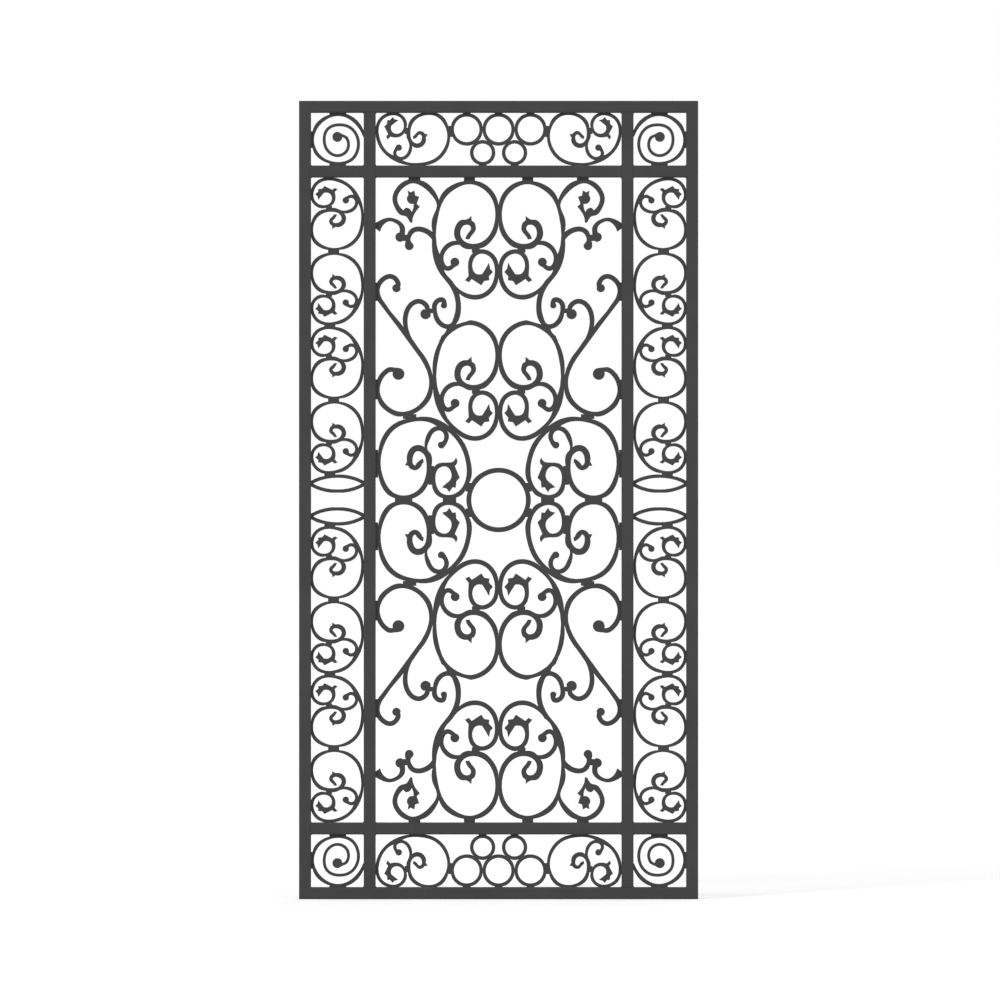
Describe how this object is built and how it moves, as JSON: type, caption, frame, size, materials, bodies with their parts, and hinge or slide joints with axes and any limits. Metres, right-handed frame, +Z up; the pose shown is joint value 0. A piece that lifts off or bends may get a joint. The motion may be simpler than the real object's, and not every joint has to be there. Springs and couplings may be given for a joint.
{
  "type": "scrollwork metal screen panel",
  "caption": "Tall metal screen panel with a square tube frame, mullions and transoms around laser-cut scrolls, rings and corner spirals.",
  "frame": {"origin": "centre of the bottom rail's underside, midway through the panel's depth", "axes": "+Z up, +X to the right seen from the front, front face towards -Y"},
  "size_m": [1, 0.03, 2],
  "materials": {
    "coated_steel": "fine matt powder coat, dark grey, over frame tubes and laser-cut plates alike"
  },
  "bodies": {
    "root": {"left_stile": "coated_steel", "right_stile": "coated_steel", "top_rail": "coated_steel", "bottom_rail": "coated_steel", "left_mullion": "coated_steel", "right_mullion": "coated_steel", "upper_left_transom": "coated_steel", "upper_centre_transom": "coated_steel", "upper_right_transom": "coated_steel", "lower_left_transom": "coated_steel", "lower_centre_transom": "coated_steel", "lower_right_transom": "coated_steel", "centre_scroll_plate": "coated_steel", "upper_frieze": "coated_steel", "lower_frieze": "coated_steel", "upper_left_side_scroll": "coated_steel", "upper_left_corner_spiral": "coated_steel", "upper_right_side_scroll": "coated_steel", "upper_right_corner_spiral": "coated_steel", "lower_left_side_scroll": "coated_steel", "lower_left_corner_spiral": "coated_steel", "lower_right_side_scroll": "coated_steel", "lower_right_corner_spiral": "coated_steel"}
  },
  "joints": []
}
